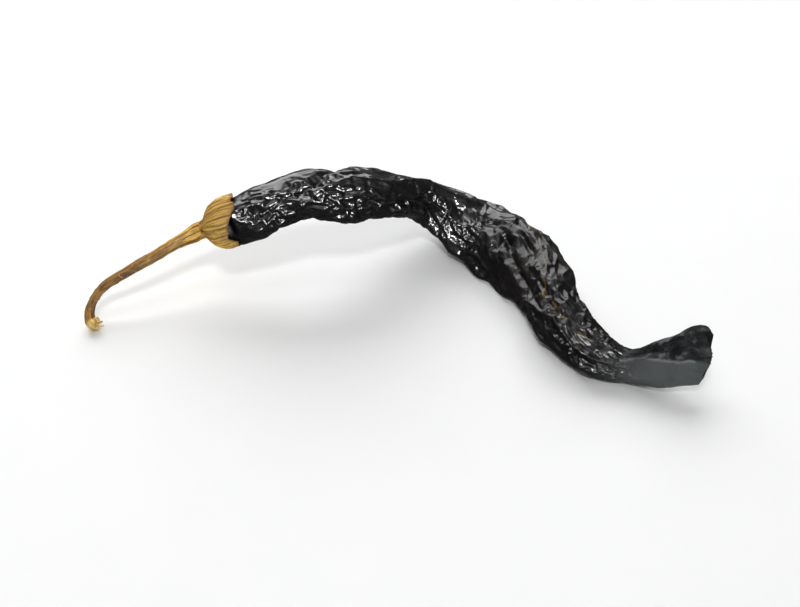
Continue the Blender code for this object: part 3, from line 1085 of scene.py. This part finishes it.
crest = chilli.band(rise + cloud * 0.9, 0.35, 1.35)
colour = chilli.mix(crest * 0.6, (0.0028, 0.0026, 0.0030), (0.013, 0.0090, 0.0070))
colour = chilli.mix(chilli.band(patch, 0.5, 0.68) * 0.4, colour, (0.011, 0.0065, 0.0045))
colour = chilli.mix(chilli.band(streak * (0.5 + cloud), 0.35, 0.8) * 0.8, colour, (0.13, 0.085, 0.018))
gloss = 0.38 + 0.12 * chilli.band(cloud, 0.3, 0.7)
crumpled = chilli.band(chilli.attribute("along"), 78, 96)
wax = (0.80 - 0.44 * crumpled) * chilli.band(chilli.attribute("along"), 2.5, 5)
relief = (threads * 0.6 + pores * 0.25 + mottle * 0.35) * (1 + 0.7 * crumpled)
chilli.surface(
    Base_Color=colour,
    Roughness=gloss,
    Specular_IOR_Level=0.14,
    Coat_Weight=wax,
    Coat_Roughness=0.085,
    Normal=chilli.bump(relief, 0.42 * MM),
)
dark_spots = chilli.band(mottle, 0.68, 0.48) * chilli.attribute("upper")
tail_colour = chilli.mix(dark_spots, (0.100, 0.110, 0.109), (0.008, 0.009, 0.010))
tail_colour = chilli.mix(chilli.band(cloud, 0.48, 0.66) * 0.35, tail_colour, (0.055, 0.060, 0.060))
# Painted highlight: the pale line along the tail's fold.
tail_colour = chilli.mix(chilli.attribute("painted_glint") * 0.8, tail_colour, (0.26, 0.275, 0.28))
chilli.second_surface(
    tail,
    Base_Color=tail_colour,
    Roughness=0.62 - 0.2 * dark_spots,
    Specular_IOR_Level=0.04,
    Normal=chilli.bump(mottle + pores * 0.3, 0.5 * MM),
)
pod_skin.data.materials.append(chilli.material)
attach(pod_skin, "root")
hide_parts("pod")
print("pod finish nodes:", len(chilli.tree.nodes))

# %% [markdown]
# ## The husk's finish
# The calyx is ochre and papery: fine light and dark lines run along it, grey-brown blotches lie
# over them, and its thin rim is orange where it has torn. Near the stalk, light and shade are painted on:
# its ridges are golden as painted highlights and its grooves dark as painted shade.
# Inside the cup it is painted a very dark brown, as the shade in the cup.

# %% Calyx finish
husk = Finish("calyx_husk_finish")
place = husk.place()
share, rib, groove = husk.attribute("share"), husk.attribute("rib"), husk.attribute("groove")
drawn = husk.drawn_out(0.09)
fibre = husk.noise(drawn, 2600, 4, 0.65, 0.3)
broad_fibre = husk.noise(drawn, 380, 3, 0.5, 0.4)
blotch = husk.noise(place, 260, 4, 0.6)
speck = husk.noise(place, 1400, 2, 0.6)
lines = husk.band(fibre * 0.6 + broad_fibre * 0.4 + rib * 0.05, 0.42, 0.60)
colour = husk.mix(lines, (0.24, 0.115, 0.012), (0.78, 0.47, 0.085))
colour = husk.mix(husk.band(blotch, 0.52, 0.66) * 0.55, colour, (0.20, 0.110, 0.030))
colour = husk.mix(husk.band(broad_fibre, 0.60, 0.70) * 0.45, colour, (0.13, 0.07, 0.018))
# Painted light near the stalk: ridges golden as painted highlights, grooves near-black as painted shade.
golden = husk.mix(husk.band(groove, 0.2, 0.75), (0.58, 0.35, 0.085), (0.09, 0.045, 0.010))
colour = husk.mix(husk.band(0.27 - share, 0, 0.12) * 0.9, colour, golden)
colour = husk.mix(husk.band(speck, 0.66, 0.74) * 0.5, colour, (0.62, 0.44, 0.2))
colour = husk.mix(husk.band(share, 0.93, 1.0) * 0.75, colour, (0.30, 0.125, 0.022))
# Painted shade: the inside of the cup is darkened nearly to black.
colour = husk.mix(husk.attribute("inner") * 0.92, colour, (0.028, 0.015, 0.007))
husk.surface(
    Base_Color=colour,
    Roughness=0.72 - 0.2 * lines,
    Specular_IOR_Level=0.22,
    Normal=husk.bump(fibre * 0.7 + speck * 0.3, 0.22 * MM),
)
calyx_husk.data.materials.append(husk.material)
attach(calyx_husk, "root")
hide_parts("calyx")
print("calyx finish nodes:", len(husk.tree.nodes))

# %% [markdown]
# ## The stem's finish
# The stem is golden by the calyx, where its ridges are smooth and a little shiny, and turns to
# rough brown bark with pale flecks towards the hook. The torn end is bare pale wood.

# %% Stem finish
bark = Finish("stem_bark_finish")
place = bark.place()
along, groove, torn_end = bark.attribute("along"), bark.attribute("groove"), bark.attribute("torn")
drawn = bark.drawn_out(0.10)
grain = bark.noise(drawn, 1900, 4, 0.6, 0.4)
cloud = bark.noise(place, 420, 4, 0.6)
fleck = bark.noise(place, 900, 3, 0.65)
brown = bark.band(along, 6, 24)
golden = bark.mix(bark.band(grain, 0.38, 0.62), (0.34, 0.150, 0.008), (0.88, 0.50, 0.045))
weathered = bark.band(grain * 0.6 + cloud * 0.4, 0.38, 0.62)
woody = bark.mix(weathered, (0.135, 0.052, 0.005), (0.46, 0.225, 0.028))
colour = bark.mix(brown, golden, woody)
# Painted shade: the grooves near the calyx are darkened.
groove_shade = bark.band(groove, 0.25, 0.9) * bark.band(26 - along, 0, 14) * 0.85
colour = bark.mix(groove_shade, colour, (0.085, 0.042, 0.008))
colour = bark.mix(bark.band(fleck, 0.62, 0.70) * brown * 0.8, colour, (0.70, 0.50, 0.24))
pale = bark.mix(bark.band(grain, 0.35, 0.6), (0.56, 0.30, 0.045), (0.92, 0.68, 0.22))
colour = bark.mix(bark.band(torn_end + (cloud - 0.5) * 0.5, 0.15, 0.5), colour, pale)
bark.surface(
    Base_Color=colour,
    Roughness=0.42 + 0.25 * brown,
    Specular_IOR_Level=0.25,
    Normal=bark.bump(grain * 0.6 + fleck * brown * 0.8, 0.20 * MM),
)
stem_bark.data.materials.append(bark.material)
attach(stem_bark, "root")
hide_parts("stem")
print("stem finish nodes:", len(bark.tree.nodes))

# %% [markdown]
# ## The table
# A matt white board. It has a faint unevenness, so that it isn't a dead flat white.

# %% Table finish
board = Finish("table_finish")
place = board.place()
board.surface(
    Base_Color=board.mix(board.noise(place, 60, 3), (0.86, 0.87, 0.865), (0.88, 0.885, 0.88)),
    Roughness=0.7,
)
table.data.materials.append(board.material)
print("table finish nodes:", len(board.tree.nodes))
